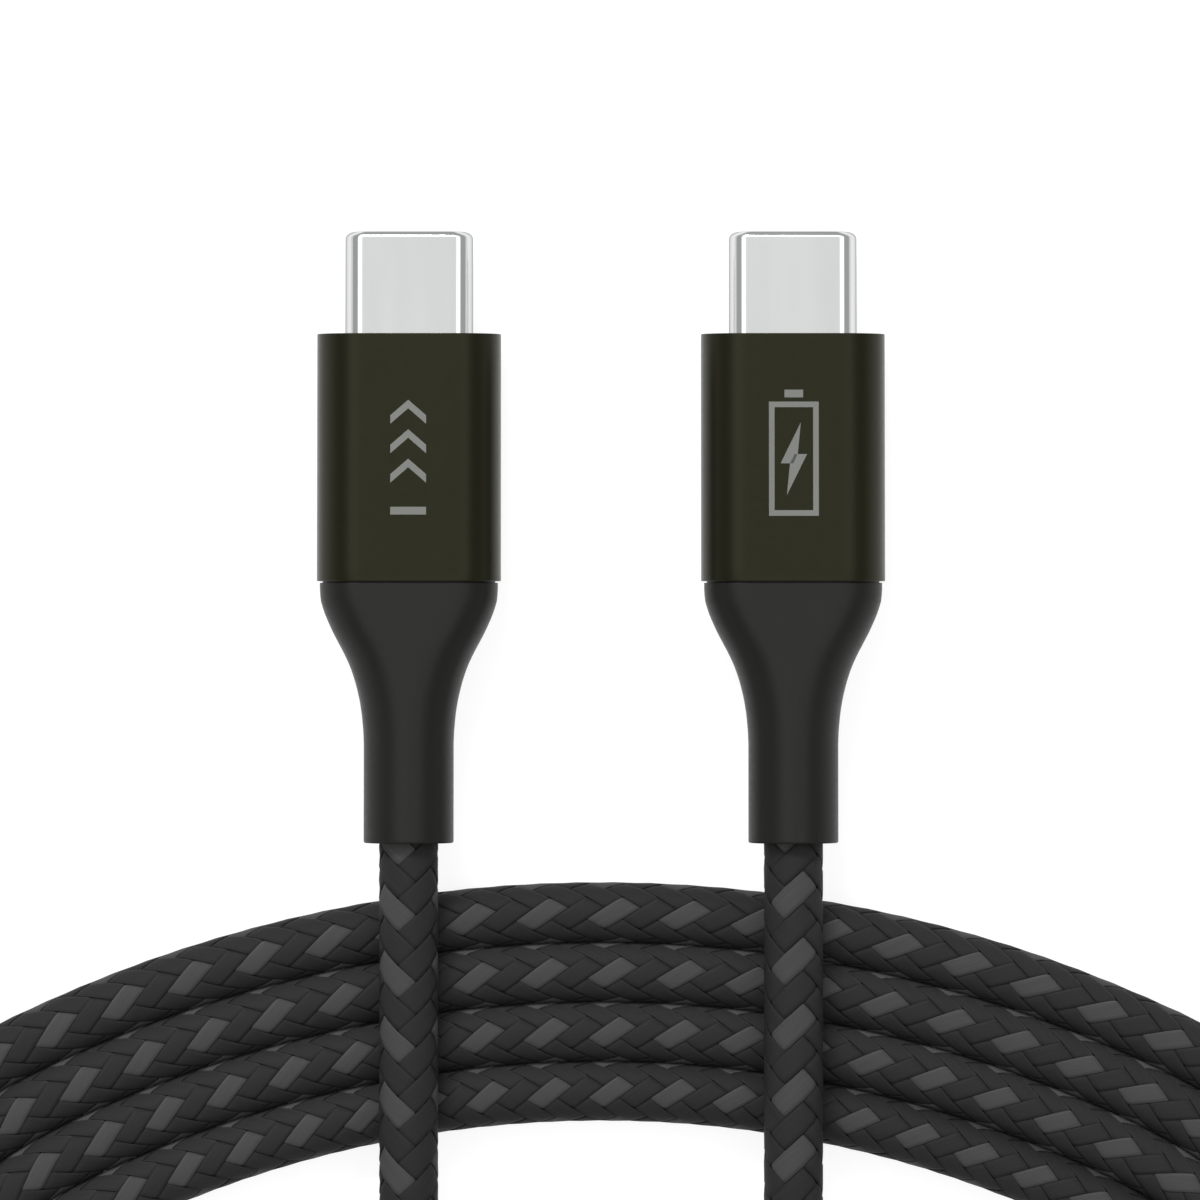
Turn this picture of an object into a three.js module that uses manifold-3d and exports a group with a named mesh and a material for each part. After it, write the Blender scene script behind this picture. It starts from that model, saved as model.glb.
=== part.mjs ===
// Braided charging cable with a plug at each end. Millimetres, +Z up.
// The plugs lie side by side and point along +Y; the cord lies behind them in a flat
// oval coil, and both ends of the cord cross over the top of the coil.
// The origin is under the middle of the pair of plugs, on the surface they lie on.
import * as THREE from 'three';
import { mergeVertices } from 'three/addons/utils/BufferGeometryUtils.js';
import Module from 'manifold-3d';

const wasm = await Module();
wasm.setup();

// ---------- driving dimensions ----------
const CORD_D = 3.74;            // braided cord
const PITCH = 3.845;            // strand to strand in the coil
const PLUG_X = 12.39;           // each plug's distance from the middle
const TILT = THREE.MathUtils.degToRad(3.75); // each plug rests on its front edge, boot lifted by the coil
const PLUG_Y = 13.16;           // front of the housings

const SHELL = { w: 8.25, t: 2.40, wall: 0.2, out: 6.65, back: -4.0 };
const HOUSING = { w: 11.87, t: 6.2, r: 2.7, len: 15.94, wall: 0.9, front: 1.3, innerR: 1.8 };
const BOOT_LEN = 16.97;
const BOOT_END = -(HOUSING.len + BOOT_LEN);
const BOOT_T = 5.8;
// distance behind the housing -> width
const BOOT = [[0.05, 11.48], [0.9, 11.46], [1.94, 10.97], [3.23, 9.94], [4.5, 8.5], [5.5, 7.62], [6.8, 6.75], [8.3, 6.1], [10.3, 5.8], [13.6, 5.8], [16.97, 5.8]];
const CONTACTS = 12, CONTACT_PITCH = 0.5, CONTACT_W = 0.24;

// coil: the outermost strand's centre line, as arcs
const TOP_R = 85.5, TOP_Y = -109.65, TOP_HALF = THREE.MathUtils.degToRad(27.3);
const SIDE_R = 25.5, BOTTOM_HALF = THREE.MathUtils.degToRad(12);
const COIL_H = 3.56;

// ends of the cord, over the coil: points of each centre line
const RIGHT_TAIL = [[12.39, -19.98, 5.27], [12.39, -26.15, 5.59], [12.39, -32.33, 5.61], [12.39, -38.52, 5.58], [12.39, -44.69, 5.30], [12.39, -50.87, 4.97], [12.39, -57.05, 4.99], [12.26, -63.22, 5.33], [11.34, -69.32, 5.61], [9.05, -75.04, 5.61], [4.99, -79.65, 5.61], [-0.46, -82.50, 5.61], [-5.4, -83.6, 5.61]];
const LEFT_TAIL = [[4.3, -68.80, 1.875], [-0.83, -66.61, 1.875], [-6.15, -62.94, 1.875], [-10.24, -57.95, 2.04], [-12.21, -51.94, 3.22], [-12.39, -45.67, 4.83], [-12.39, -39.24, 5.58], [-12.39, -32.76, 5.61], [-12.39, -26.27, 5.59], [-12.39, -19.98, 5.27]];

// ---------- materials ----------
const mat = (color, roughness, metalness) => new THREE.MeshStandardMaterial({ color, roughness, metalness });
const M = {
  steel: mat(0xd5d8d7, 0.28, 1.0),
  housing: mat(0x2b2b25, 0.42, 0.0),
  boot: mat(0x2b2a29, 0.7, 0.0),
  braid: mat(0x333335, 0.85, 0.0),
  lcp: mat(0x1c1c1c, 0.6, 0.0),
  gold: mat(0xd9b45a, 0.3, 1.0),
  card: mat(0x1f5a38, 0.5, 0.0),
  chip: mat(0x161616, 0.5, 0.0),
  mould: mat(0xd8d6cf, 0.6, 0.0),
  brass: mat(0xc2a25e, 0.35, 1.0),
  red: mat(0xb02020, 0.5, 0.0),
  black: mat(0x151515, 0.5, 0.0),
  blue: mat(0x2050a0, 0.5, 0.0),
  yellow: mat(0xd0b020, 0.5, 0.0),
  green: mat(0x208040, 0.5, 0.0),
  white: mat(0xe8e8e8, 0.5, 0.0),
};

// ---------- geometry helpers ----------
function volume(g) {
  const p = g.attributes.position, idx = g.index;
  const n = idx ? idx.count : p.count, a = new THREE.Vector3(), b = new THREE.Vector3(), c = new THREE.Vector3();
  let v = 0;
  for (let i = 0; i < n; i += 3) {
    const [i0, i1, i2] = idx ? [idx.getX(i), idx.getX(i + 1), idx.getX(i + 2)] : [i, i + 1, i + 2];
    a.fromBufferAttribute(p, i0); b.fromBufferAttribute(p, i1); c.fromBufferAttribute(p, i2);
    v += a.dot(b.cross(c)) / 6;
  }
  return v;
}
// position only, shared vertices merged, faces pointing out
function clean(geometry, tol = 1e-4) {
  const g = geometry.clone();
  for (const k of Object.keys(g.attributes)) if (k !== 'position') g.deleteAttribute(k);
  const m = mergeVertices(g, tol);
  const idx = Array.from(m.index.array), keep = [];
  for (let i = 0; i < idx.length; i += 3) {
    const [a, b, c] = idx.slice(i, i + 3);
    if (a !== b && b !== c && a !== c) keep.push(a, b, c);
  }
  if (volume(Object.assign(new THREE.BufferGeometry(), { attributes: m.attributes, index: new THREE.Uint32BufferAttribute(keep, 1) })) < 0) {
    for (let i = 0; i < keep.length; i += 3) [keep[i + 1], keep[i + 2]] = [keep[i + 2], keep[i + 1]];
  }
  const out = new THREE.BufferGeometry();
  out.setAttribute('position', m.attributes.position.clone());
  out.setIndex(keep);
  return out;
}
function toSolid(geometry) {
  const g = clean(geometry);
  return new wasm.Manifold(new wasm.Mesh({ numProp: 3, vertProperties: new Float32Array(g.attributes.position.array), triVerts: new Uint32Array(g.index.array) }));
}
function fromSolid(solid) {
  const m = solid.getMesh();
  const g = new THREE.BufferGeometry();
  g.setAttribute('position', new THREE.Float32BufferAttribute(Float32Array.from(m.vertProperties), 3));
  g.setIndex(Array.from(m.triVerts));
  return g;
}
// closed outline in x,z -> prism from y0 to y1
function prism(shape, y0, y1, segs = 5) {
  const g = new THREE.ExtrudeGeometry(shape, { depth: y1 - y0, steps: 1, bevelEnabled: false, curveSegments: segs });
  g.rotateX(Math.PI / 2);
  g.translate(0, y1, 0);
  return g;
}
// closed outline in x,y -> plate from z0 to z1
function plate(shape, z0, z1) {
  const g = new THREE.ExtrudeGeometry(shape, { depth: z1 - z0, steps: 1, bevelEnabled: false, curveSegments: 4 });
  g.translate(0, 0, z0);
  return g;
}
function roundRect(w, h, r, Type = THREE.Shape) {
  const s = new Type(), a = w / 2 - r, b = h / 2 - r;
  s.absarc(a, -b, r, -Math.PI / 2, 0, false);
  s.absarc(a, b, r, 0, Math.PI / 2, false);
  s.absarc(-a, b, r, Math.PI / 2, Math.PI, false);
  s.absarc(-a, -b, r, Math.PI, Math.PI * 1.5, false);
  s.closePath();
  return s;
}
function poly(points, Type = THREE.Shape) {
  const s = new Type();
  points.forEach(([x, y], i) => (i ? s.lineTo(x, y) : s.moveTo(x, y)));
  s.closePath();
  return s;
}
const rectPath = (w, h) => poly([[-w / 2, -h / 2], [w / 2, -h / 2], [w / 2, h / 2], [-w / 2, h / 2]], THREE.Path);
function block(x0, x1, y0, y1, z0, z1) {
  const g = new THREE.BoxGeometry(x1 - x0, y1 - y0, z1 - z0);
  g.translate((x0 + x1) / 2, (y0 + y1) / 2, (z0 + z1) / 2);
  return g;
}
function lathe(points, n = 16) {
  return clean(new THREE.LatheGeometry(points.map(([r, y]) => new THREE.Vector2(r, y)), n));
}
function tube(points, d, sides, steps) {
  const curve = new THREE.CatmullRomCurve3(points.map((p) => new THREE.Vector3(...p)), false, 'centripetal');
  const s = new THREE.Shape();
  for (let i = 0; i < sides; i++) {
    const a = (i + 0.5) / sides * Math.PI * 2;
    i ? s.lineTo(Math.cos(a) * d / 2, Math.sin(a) * d / 2) : s.moveTo(Math.cos(a) * d / 2, Math.sin(a) * d / 2);
  }
  s.closePath();
  return clean(new THREE.ExtrudeGeometry(s, { steps, bevelEnabled: false, extrudePath: curve }));
}
const mirrorZ = (g) => { const c = g.clone(); c.scale(1, 1, -1); return clean(c); };

// ---------- one plug, in its own frame: y = 0 at the housing's front, +y towards the tip ----------
function comb() {
  const pts = [[-3.35, -3.8], [-3.35, 0.6]];
  const x = (i) => (i - (CONTACTS - 1) / 2) * CONTACT_PITCH, h = CONTACT_W / 2;
  for (let i = 0; i < CONTACTS; i++) pts.push([x(i) - h, 0.6], [x(i) - h, 5.0], [x(i) + h, 5.0], [x(i) + h, 0.6]);
  pts.push([3.35, 0.6], [3.35, -3.8]);
  for (let i = CONTACTS - 1; i >= 0; i--) pts.push([x(i) + h, -3.8], [x(i) + h, -6.2], [x(i) - h, -6.2], [x(i) - h, -3.8]);
  return fromSolid(toSolid(plate(poly(pts), 0.34, 0.44)).add(toSolid(block(-3.3, 3.3, -3.75, 0.55, 0.15, 0.39))));
}
function spring() {
  const pts = [[-3.1, 6.2], [-3.1, 5.85]];
  for (const c of [-2.4, -0.8, 0.8, 2.4]) pts.push([c - 0.4, 5.85], [c - 0.3, 5.25], [c + 0.3, 5.25], [c + 0.4, 5.85]);
  pts.push([3.1, 5.85], [3.1, 6.2]);
  return clean(plate(poly(pts), 0.35, 0.43));
}
function shield() {
  const o = [[-4.75, 0.04], [-4.55, 0.04], [-4.55, 0.97], [-3.87, 1.65], [3.87, 1.65], [4.55, 0.97], [4.55, 0.04], [4.75, 0.04], [4.75, 1.05], [3.95, 1.85], [-3.95, 1.85], [-4.75, 1.05]];
  return clean(prism(poly(o), -12.2, -4.3));
}
function sleeve(outer, hole, y0, y1, segs) {
  outer.holes.push(hole);
  return clean(prism(outer, y0, y1, segs));
}
function housing() {
  const h = HOUSING;
  const body = toSolid(prism(roundRect(h.w, h.t, h.r), -h.len, 0, 5));
  const cavity = toSolid(prism(roundRect(h.w - 2 * h.wall, h.t - 2 * h.wall, h.innerR), -h.len - 1, -h.front, 4));
  const mouth = toSolid(prism(roundRect(SHELL.w + 0.1, SHELL.t + 0.1, (SHELL.t + 0.1) / 2 - 0.001), -h.front - 1, 1, 5));
  return fromSolid(body.subtract(cavity).subtract(mouth));
}
function boot() {
  const SIDES = 24, rings = BOOT.length - 1;
  const g = new THREE.CylinderGeometry(1, 1, 1, SIDES, rings);
  const p = g.attributes.position;
  for (let i = 0; i < p.count; i++) {
    const ring = Math.round((0.5 - p.getY(i)) * rings);
    const [back, w] = BOOT[ring];
    const y = -HOUSING.len - back;
    if (Math.hypot(p.getX(i), p.getZ(i)) < 0.5) { p.setXYZ(i, 0, y, 0); continue; }
    const k = ((Math.round(Math.atan2(p.getZ(i), p.getX(i)) / (2 * Math.PI) * SIDES) % SIDES) + SIDES) % SIDES;
    const corner = Math.floor(k / 6), a = (corner * 90 + ((k % 6) + 0.5) * 15) * Math.PI / 180;
    const r = Math.min(2.9, 2.6 + back * 0.06, w / 2, BOOT_T / 2);
    const sx = corner === 0 || corner === 3 ? 1 : -1, sz = corner < 2 ? 1 : -1;
    p.setXYZ(i, sx * (w / 2 - r) + r * Math.cos(a), y, sz * (BOOT_T / 2 - r) + r * Math.sin(a));
  }
  const bore = toSolid(lathe([[0, BOOT_END - 1], [1.92, BOOT_END - 1], [1.92, -HOUSING.len + 1], [0, -HOUSING.len + 1]]));
  return fromSolid(toSolid(g).subtract(bore));
}
const WIRES = [
  ['power_wire', M.red, 1.0, [[-2.4, -9.9, 0.85], [-2.4, -11.0, 0.85], [-2.4, -11.9, 0.85], [-0.66, -13.5, 0], [-0.66, -14.0, 0]]],
  ['ground_wire', M.black, 1.0, [[2.4, -9.9, 0.85], [2.4, -11.0, 0.85], [2.4, -11.9, 0.85], [0.66, -13.5, 0], [0.66, -14.0, 0]]],
  ['control_wire', M.blue, 0.6, [[-0.9, -9.9, 0.65], [-0.9, -11.9, 0.68], [-0.42, -13.4, 0.95], [-0.42, -14.0, 0.95]]],
  ['marker_power_wire', M.yellow, 0.6, [[0.9, -9.9, 0.65], [0.9, -11.9, 0.68], [0.42, -13.4, 0.95], [0.42, -14.0, 0.95]]],
  ['data_plus_wire', M.green, 0.6, [[0.9, -9.9, -0.65], [0.9, -11.9, -0.68], [0.42, -13.4, -0.95], [0.42, -14.0, -0.95]]],
  ['data_minus_wire', M.white, 0.6, [[-0.9, -9.9, -0.65], [-0.9, -11.9, -0.68], [-0.42, -13.4, -0.95], [-0.42, -14.0, -0.95]]],
];
const can = [[-4.8, -1.07], [-3.97, -1.9], [3.97, -1.9], [4.8, -1.07], [4.8, 1.07], [3.97, 1.9], [-3.97, 1.9], [-4.8, 1.07]];

const PIECES = {
  plug_shell: [sleeve(roundRect(SHELL.w, SHELL.t, SHELL.t / 2 - 0.001), roundRect(SHELL.w - 0.4, SHELL.t - 0.4, SHELL.t / 2 - 0.201, THREE.Path), SHELL.back, SHELL.out, 6), M.steel],
  front_insulator: [sleeve(roundRect(7.75, 1.9, 0.949), rectPath(6.9, 0.95), -1.0, 6.3, 5), M.lcp],
  rear_insulator: [sleeve(roundRect(7.75, 1.9, 0.949), rectPath(6.9, 0.95), -3.9, -1.3, 5), M.lcp],
  upper_contact_row: [comb(), M.gold],
  lower_contact_row: [mirrorZ(comb()), M.gold],
  latch_plate: [clean(plate(poly([[-3.38, -3.6], [3.38, -3.6], [3.38, 5.2], [2.95, 5.2], [2.95, 4.6], [3.08, 4.4], [3.08, 0.3], [-3.08, 0.3], [-3.08, 4.4], [-2.95, 4.6], [-2.95, 5.2], [-3.38, 5.2]]), -0.08, 0.08)), M.steel],
  upper_ground_spring: [spring(), M.steel],
  lower_ground_spring: [mirrorZ(spring()), M.steel],
  paddle_card: [clean(block(-4.1, 4.1, -11.5, -4.6, -0.3, 0.3)), M.card],
  card_capacitor: [clean(block(2.3, 3.3, -8.5, -8.0, 0.33, 0.83)), M.mould],
  shield_can_upper: [shield(), M.steel],
  shield_can_lower: [mirrorZ(shield()), M.steel],
  inner_mould: [sleeve(roundRect(9.97, 4.3, 1.7), poly(can, THREE.Path), -15.6, -4.5, 4), M.mould],
  crimp_ferrule: [lathe([[1.57, -17.6], [1.8, -17.6], [1.8, -14.5], [1.57, -14.5], [1.57, -17.6]], 16), M.brass],
  cord_end: [lathe([[0, -32.6], [1.87, -32.6], [1.87, -17.9], [1.5, -17.9], [1.5, -14.2], [0, -14.2]], 16), M.braid],
  housing: [housing(), M.housing],
  boot: [boot(), M.boot],
};
const MARKER = clean(block(-1.0, 1.0, -9.2, -7.2, 0.33, 0.95));

const object = new THREE.Group();
function add(parent, name, geometry, material) {
  const g = geometry.clone();
  g.computeVertexNormals();
  const mesh = new THREE.Mesh(g, material);
  mesh.name = name;
  parent.add(mesh);
}
for (const [side, x] of [['left', -PLUG_X], ['right', PLUG_X]]) {
  const plug = new THREE.Group();
  plug.position.set(x, PLUG_Y, HOUSING.t / 2 * Math.cos(TILT));
  plug.rotation.x = -TILT;
  object.add(plug);
  for (const [name, [geometry, material]] of Object.entries(PIECES)) add(plug, `${side}_${name}`, geometry, material);
  for (const [name, material, d, points] of WIRES) add(plug, `${side}_${name}`, tube(points, d, 6, 8), material);
  if (side === 'right') add(plug, 'right_marker_chip', MARKER, M.chip);
}

// ---------- the cord ----------
const sideX = (TOP_R - SIDE_R) * Math.sin(TOP_HALF), sideY = TOP_Y + (TOP_R - SIDE_R) * Math.cos(TOP_HALF);
const bottomR = SIDE_R + sideX / Math.sin(BOTTOM_HALF), bottomY = sideY + sideX / Math.tan(BOTTOM_HALF);
function oval(inset, Type) {
  const pts = [];
  const arc = (cx, cy, r, a0, a1, n, last) => {
    for (let i = 0; i < n + (last ? 1 : 0); i++) {
      const a = a0 + (a1 - a0) * i / n;
      pts.push([cx + (r - inset) * Math.cos(a), cy + (r - inset) * Math.sin(a)]);
    }
  };
  const q = Math.PI / 2;
  arc(0, bottomY, bottomR, -q + BOTTOM_HALF, -q - BOTTOM_HALF, 4);
  arc(-sideX, sideY, SIDE_R, -q - BOTTOM_HALF, -3 * q + TOP_HALF, 12);
  arc(0, TOP_Y, TOP_R, q + TOP_HALF, q - TOP_HALF, 10);
  arc(sideX, sideY, SIDE_R, q - TOP_HALF, -q + BOTTOM_HALF, 12);
  return poly(pts.reverse(), Type);
}
const ring = oval(-CORD_D / 2, THREE.Shape);
ring.holes.push(oval(3 * PITCH + CORD_D / 2, THREE.Path));
add(object, 'cord_coil', clean(plate(ring, 0, COIL_H)), M.braid);
add(object, 'cord_tail_left', tube(LEFT_TAIL, CORD_D, 8, 14), M.braid);
add(object, 'cord_tail_right', tube(RIGHT_TAIL, CORD_D, 8, 18), M.braid);

export default object;
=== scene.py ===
"""A braided charging cable: two plugs side by side on a flat coil of their own cord."""
import bpy, math
import numpy as np
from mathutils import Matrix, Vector


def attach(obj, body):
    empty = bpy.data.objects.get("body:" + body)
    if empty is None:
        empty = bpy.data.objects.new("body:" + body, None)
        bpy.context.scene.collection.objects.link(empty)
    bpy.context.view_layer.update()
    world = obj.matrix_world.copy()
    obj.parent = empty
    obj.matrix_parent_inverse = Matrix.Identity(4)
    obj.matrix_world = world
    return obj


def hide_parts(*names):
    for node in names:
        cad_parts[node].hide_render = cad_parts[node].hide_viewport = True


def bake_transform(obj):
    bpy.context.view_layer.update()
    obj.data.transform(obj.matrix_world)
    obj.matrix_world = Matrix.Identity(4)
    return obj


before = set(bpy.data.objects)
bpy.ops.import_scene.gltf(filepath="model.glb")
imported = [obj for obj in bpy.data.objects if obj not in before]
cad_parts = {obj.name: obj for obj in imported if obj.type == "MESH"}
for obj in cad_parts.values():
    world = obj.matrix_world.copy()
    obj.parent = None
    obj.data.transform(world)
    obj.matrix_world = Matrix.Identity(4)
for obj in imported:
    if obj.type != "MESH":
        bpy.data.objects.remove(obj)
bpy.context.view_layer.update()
MM = 0.001

# ---------------------------------------------------------------- sizes, in mm, as in the part
CORD_D, TILT = 3.74, math.radians(3.75)
PLUG_X, PLUG_Y, PLUG_Z = 12.39, 13.16, 3.1 * math.cos(math.radians(3.75))
SHELL_W, SHELL_T, SHELL_OUT, SHELL_BACK = 8.25, 2.40, 6.65, -4.0
HOUSE_W, HOUSE_T, HOUSE_R, HOUSE_L = 11.87, 6.2, 2.93, 15.94
BOOT_L, BOOT_T = 16.97, 5.8
BOOT_END = -(HOUSE_L + BOOT_L)
BOOT = [(0.05, 11.48), (0.65, 11.48), (1.29, 11.35), (1.94, 10.97), (2.58, 10.45), (3.23, 9.86), (3.87, 9.2), (4.5, 8.52), (5.16, 7.87), (5.8, 7.36), (6.45, 6.94), (7.1, 6.6), (7.74, 6.32), (8.4, 6.11), (9.03, 5.97), (9.7, 5.86), (10.4, 5.8), (12.0, 5.8), (16.97, 5.8)]

# the cord's centre line, from the right plug's boot, round the coil four times, to the left plug's boot
ROUTE = [
    (12.39, -19.68, 5.246), (12.39, -25.67, 5.581), (12.39, -31.66, 5.610), (12.39, -37.66, 5.597), (12.39, -43.65, 5.367),
    (12.39, -49.64, 5.019), (12.39, -55.63, 4.944), (12.34, -61.62, 5.228), (11.72, -67.57, 5.547), (9.96, -73.28, 5.610),
    (6.61, -78.22, 5.610), (1.72, -81.63, 5.610), (-3.99, -83.40, 5.591), (-9.92, -83.98, 5.014), (-15.72, -83.83, 3.526),
    (-21.53, -83.23, 2.207), (-27.44, -82.31, 1.873), (-33.32, -81.13, 1.870), (-38.94, -79.08, 1.870), (-43.94, -75.78, 1.870),
    (-48.02, -71.42, 1.870), (-50.98, -66.21, 1.870), (-52.63, -60.46, 1.870), (-52.90, -54.49, 1.870), (-51.77, -48.61, 1.870),
    (-49.30, -43.17, 1.870), (-45.63, -38.45, 1.870), (-40.95, -34.71, 1.870), (-35.64, -31.95, 1.870), (-30.10, -29.64, 1.870),
    (-24.42, -27.73, 1.870), (-18.62, -26.22, 1.870), (-12.73, -25.12, 1.870), (-6.77, -24.43, 1.870), (-0.78, -24.17, 1.870),
    (5.21, -24.32, 1.870), (11.18, -24.90, 1.870), (17.09, -25.89, 1.870), (22.92, -27.29, 1.870), (28.64, -29.10, 1.870),
    (34.21, -31.31, 1.870), (39.61, -33.92, 1.870), (44.50, -37.37, 1.870), (48.45, -41.86, 1.870), (51.25, -47.14, 1.870),
    (52.74, -52.94, 1.870), (52.84, -58.92, 1.870), (51.54, -64.76, 1.870), (48.91, -70.13, 1.870), (45.10, -74.74, 1.870),
    (40.31, -78.34, 1.870), (34.83, -80.72, 1.870), (28.98, -82.03, 1.870), (23.06, -82.97, 1.870), (17.07, -83.16, 1.870),
    (11.12, -82.46, 1.870), (5.20, -81.49, 1.870), (-0.76, -80.93, 1.870), (-6.76, -80.72, 1.870), (-12.74, -80.34, 1.870),
    (-18.71, -79.73, 1.870), (-24.64, -78.89, 1.870), (-30.54, -77.81, 1.870), (-36.27, -76.08, 1.870), (-41.35, -72.93, 1.870),
    (-45.36, -68.50, 1.870), (-48.02, -63.15, 1.870), (-49.10, -57.27, 1.870), (-48.53, -51.32, 1.870), (-46.35, -45.75, 1.870),
    (-42.73, -41.00, 1.870), (-37.95, -37.41, 1.870), (-32.56, -34.78, 1.870), (-26.98, -32.60, 1.870), (-21.25, -30.82, 1.870),
    (-15.41, -29.48, 1.870), (-9.49, -28.56, 1.870), (-3.51, -28.09, 1.870), (2.48, -28.05, 1.870), (8.47, -28.45, 1.870),
    (14.40, -29.29, 1.870), (20.26, -30.56, 1.870), (26.01, -32.26, 1.870), (31.62, -34.38, 1.870), (37.05, -36.91, 1.870),
    (41.98, -40.29, 1.870), (45.83, -44.87, 1.870), (48.27, -50.33, 1.870), (49.12, -56.24, 1.870), (48.32, -62.17, 1.870),
    (45.92, -67.64, 1.870), (42.12, -72.25, 1.870), (37.20, -75.64, 1.870), (31.54, -77.59, 1.870), (25.65, -78.72, 1.870),
    (19.70, -79.38, 1.870), (13.72, -79.06, 1.870), (7.80, -78.09, 1.870), (1.86, -77.27, 1.870), (-4.12, -76.97, 1.870),
    (-10.11, -76.69, 1.870), (-16.09, -76.16, 1.870), (-22.03, -75.40, 1.870), (-27.95, -74.40, 1.870), (-33.75, -72.95, 1.870),
    (-38.91, -69.94, 1.870), (-42.78, -65.39, 1.870), (-44.91, -59.82, 1.870), (-45.09, -53.86, 1.870), (-43.27, -48.17, 1.870),
    (-39.68, -43.41, 1.870), (-34.74, -40.05, 1.870), (-29.28, -37.57, 1.870), (-23.64, -35.53, 1.870), (-17.86, -33.93, 1.870),
    (-11.98, -32.78, 1.870), (-6.02, -32.09, 1.870), (-0.03, -31.86, 1.870), (5.96, -32.08, 1.870), (11.91, -32.77, 1.870),
    (17.80, -33.92, 1.870), (23.58, -35.51, 1.870), (29.21, -37.55, 1.870), (34.68, -40.02, 1.870), (39.63, -43.36, 1.870),
    (43.24, -48.11, 1.870), (45.08, -53.79, 1.870), (44.93, -59.75, 1.870), (42.81, -65.33, 1.870), (38.96, -69.89, 1.870),
    (33.82, -72.92, 1.870), (28.01, -74.39, 1.870), (22.10, -75.35, 1.870), (16.11, -75.51, 1.870), (10.17, -74.72, 1.870),
    (4.26, -73.71, 1.870), (-1.71, -73.20, 1.870), (-7.70, -72.98, 1.870), (-13.68, -72.54, 1.870), (-19.64, -71.86, 1.870),
    (-25.57, -70.93, 1.870), (-31.42, -69.67, 1.870), (-36.64, -66.80, 1.870), (-40.18, -62.02, 1.870), (-41.40, -56.20, 1.870),
    (-40.07, -50.40, 1.870), (-36.43, -45.69, 1.870), (-31.28, -42.65, 1.870), (-25.75, -40.33, 1.870), (-20.05, -38.47, 1.870),
    (-14.22, -37.08, 1.870), (-8.30, -36.17, 1.870), (-2.32, -35.74, 1.870), (3.67, -35.79, 1.870), (9.64, -36.33, 1.870),
    (15.55, -37.36, 1.870), (21.36, -38.85, 1.870), (27.02, -40.81, 1.870), (32.51, -43.23, 1.870), (37.42, -46.61, 1.870),
    (40.59, -51.65, 1.870), (41.35, -57.55, 1.870), (39.57, -63.23, 1.870), (35.57, -67.64, 1.870), (30.11, -70.02, 1.870),
    (24.21, -71.04, 1.870), (18.22, -71.29, 1.870), (12.25, -70.78, 1.870), (6.40, -69.51, 1.870), (0.78, -67.42, 1.870),
    (-4.38, -64.38, 1.870), (-8.70, -60.25, 1.894), (-11.52, -55.04, 2.485), (-12.38, -49.31, 3.929), (-12.39, -43.46, 5.231),
    (-12.39, -37.48, 5.605), (-12.39, -31.48, 5.610), (-12.39, -25.49, 5.577), (-12.39, -19.50, 5.234),
]

def plug_to_world(p, side):
    """Points in a plug's own frame (y = 0 at the housing's front) to the row frame, in mm."""
    p = np.asarray(p, float)
    c, s = math.cos(-TILT), math.sin(-TILT)
    x = p[..., 0] + (PLUG_X if side == "right" else -PLUG_X)
    y = p[..., 1] * c - p[..., 2] * s + PLUG_Y
    z = p[..., 1] * s + p[..., 2] * c + PLUG_Z
    return np.stack([x, y, z], -1)

# ---------------------------------------------------------------- camera
scene = bpy.context.scene
CAM_LENS, CAM_SENSOR, VIEW_MM = 300.0, 36.0, 1200 / 15.5
cam_data = bpy.data.cameras.new("camera")
cam_data.lens, cam_data.sensor_width, cam_data.clip_end = CAM_LENS, CAM_SENSOR, 50
cam = bpy.data.objects.new("camera", cam_data)
scene.collection.objects.link(cam)
cam.location = Vector((-0.065, -3.95, 4.0 + VIEW_MM / CAM_SENSOR * CAM_LENS)) * MM
cam.rotation_euler = (0, 0, 0)
scene.camera = cam

# ---------------------------------------------------------------- mesh helpers
def new_mesh(name, verts_mm, faces, smooth=True, material=None, attrs=None, uv=None):
    """faces: one or more integer arrays, each n x k."""
    faces = faces if isinstance(faces, list) else [faces]
    me = bpy.data.meshes.new(name)
    v = np.asarray(verts_mm, np.float64).reshape(-1, 3) * MM
    me.vertices.add(len(v))
    me.vertices.foreach_set("co", v.astype(np.float32).ravel())
    loops = np.concatenate([np.asarray(f, np.int32).ravel() for f in faces])
    counts = np.concatenate([np.full(len(f), np.asarray(f).shape[1], np.int32) for f in faces])
    me.loops.add(len(loops))
    me.loops.foreach_set("vertex_index", loops)
    me.polygons.add(len(counts))
    me.polygons.foreach_set("loop_start", np.concatenate([[0], np.cumsum(counts)[:-1]]).astype(np.int32))
    me.polygons.foreach_set("loop_total", counts)
    me.update(calc_edges=True)
    me.validate()
    me.polygons.foreach_set("use_smooth", np.full(len(me.polygons), smooth))
    for key, values in (attrs or {}).items():
        a = me.attributes.new(key, "FLOAT", "POINT")
        a.data.foreach_set("value", np.asarray(values, np.float32).ravel())
    ob = bpy.data.objects.new(name, me)
    scene.collection.objects.link(ob)
    if material:
        me.materials.append(material)
    return ob

def grid_faces(rows, cols, wrap_rows=False, flip=False):
    """Quads over a rows x cols vertex grid whose columns wrap round."""
    r = np.arange(rows if wrap_rows else rows - 1)
    c = np.arange(cols)
    a = (r[:, None] * cols + c[None]).ravel()
    b = (r[:, None] * cols + (c[None] + 1) % cols).ravel()
    r2 = (r + 1) % rows
    d = (r2[:, None] * cols + c[None]).ravel()
    e = (r2[:, None] * cols + (c[None] + 1) % cols).ravel()
    q = np.stack([a, b, e, d], 1)
    return q[:, ::-1] if flip else q

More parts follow.
